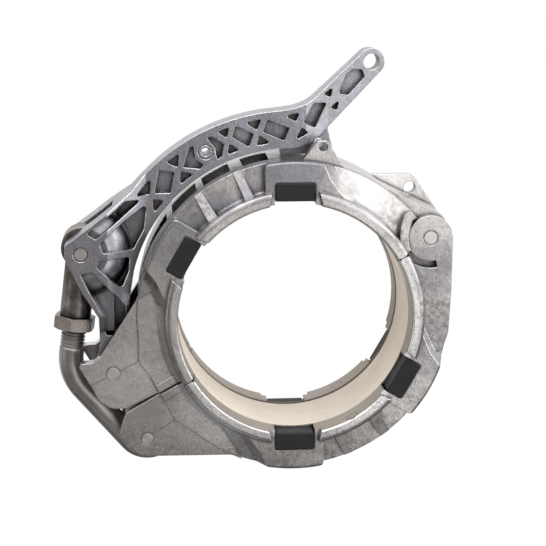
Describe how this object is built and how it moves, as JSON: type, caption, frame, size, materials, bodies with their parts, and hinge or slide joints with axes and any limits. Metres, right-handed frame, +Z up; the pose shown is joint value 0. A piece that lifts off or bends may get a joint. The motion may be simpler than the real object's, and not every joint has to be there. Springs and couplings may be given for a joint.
{
  "type": "lever coupling for grooved pipe",
  "caption": "Two-part cast coupling for grooved pipe, hinged on one side and drawn shut by an over-centre lever with a bent tie rod.",
  "frame": {"origin": "centre of the bore, at mid-width", "axes": "+Y along the pipe, away from the lever's front side; +Z up through the upper half; +X towards the hinge"},
  "size_m": [0.2867, 0.099, 0.3023],
  "materials": {
    "die_cast": "die cast, tumbled",
    "steel": "bead blasted",
    "pin_steel": "turned",
    "seal": "matte",
    "pad": "moulded"
  },
  "bodies": {
    "upper": {"upper_half": "die_cast", "foot_front": "die_cast", "foot_rear": "die_cast", "lock_ear": "die_cast", "rear_lug": "die_cast", "gasket": "seal", "fulcrum_pin": "pin_steel", "pad_front_12": "pad", "pad_rear_12": "pad", "pad_front_10": "pad", "pad_rear_10": "pad"},
    "lower": {"lower_half": "die_cast", "fork_front": "die_cast", "fork_rear": "die_cast", "hinge_pin": "pin_steel", "lower_pin": "pin_steel", "pad_front_6": "pad", "pad_rear_6": "pad", "pad_front_4": "pad", "pad_rear_4": "pad"},
    "lever": {"lever": "die_cast", "link_pin": "pin_steel"},
    "link": {"link_barrel": "steel", "link_rod": "steel", "eye_bush": "pin_steel"},
    "nut": {"jam_nut": "steel"}
  },
  "joints": [
    {"name": "lever_swing", "type": "hinge", "parent": "upper", "child": "lever", "pos_m": [-0.1294, 0, -0.0407], "axis": [0, -1, 0], "range_deg": [0, 150]},
    {"name": "link_swing", "type": "hinge", "parent": "lever", "child": "link", "pos_m": [-0.1503, 0, 0.047], "axis": [0, -1, 0], "range_deg": [-94, 0]},
    {"name": "lower_half_swing", "type": "hinge", "parent": "upper", "child": "lower", "pos_m": [0.09699, 0, 0.056], "axis": [0, -1, 0], "range_deg": [0, 27.5]},
    {"name": "nut_spin", "type": "hinge", "parent": "link", "child": "nut", "pos_m": [-0.1578, 0, -0.01152], "axis": [-0.1271, 0, -0.9919], "continuous": true}
  ],
  "couplings": [
    {"joint": "link_swing", "follows": "lever_swing", "ratio": -0.6256},
    {"joint": "lower_half_swing", "follows": "lever_swing", "ratio": 0.1814}
  ]
}
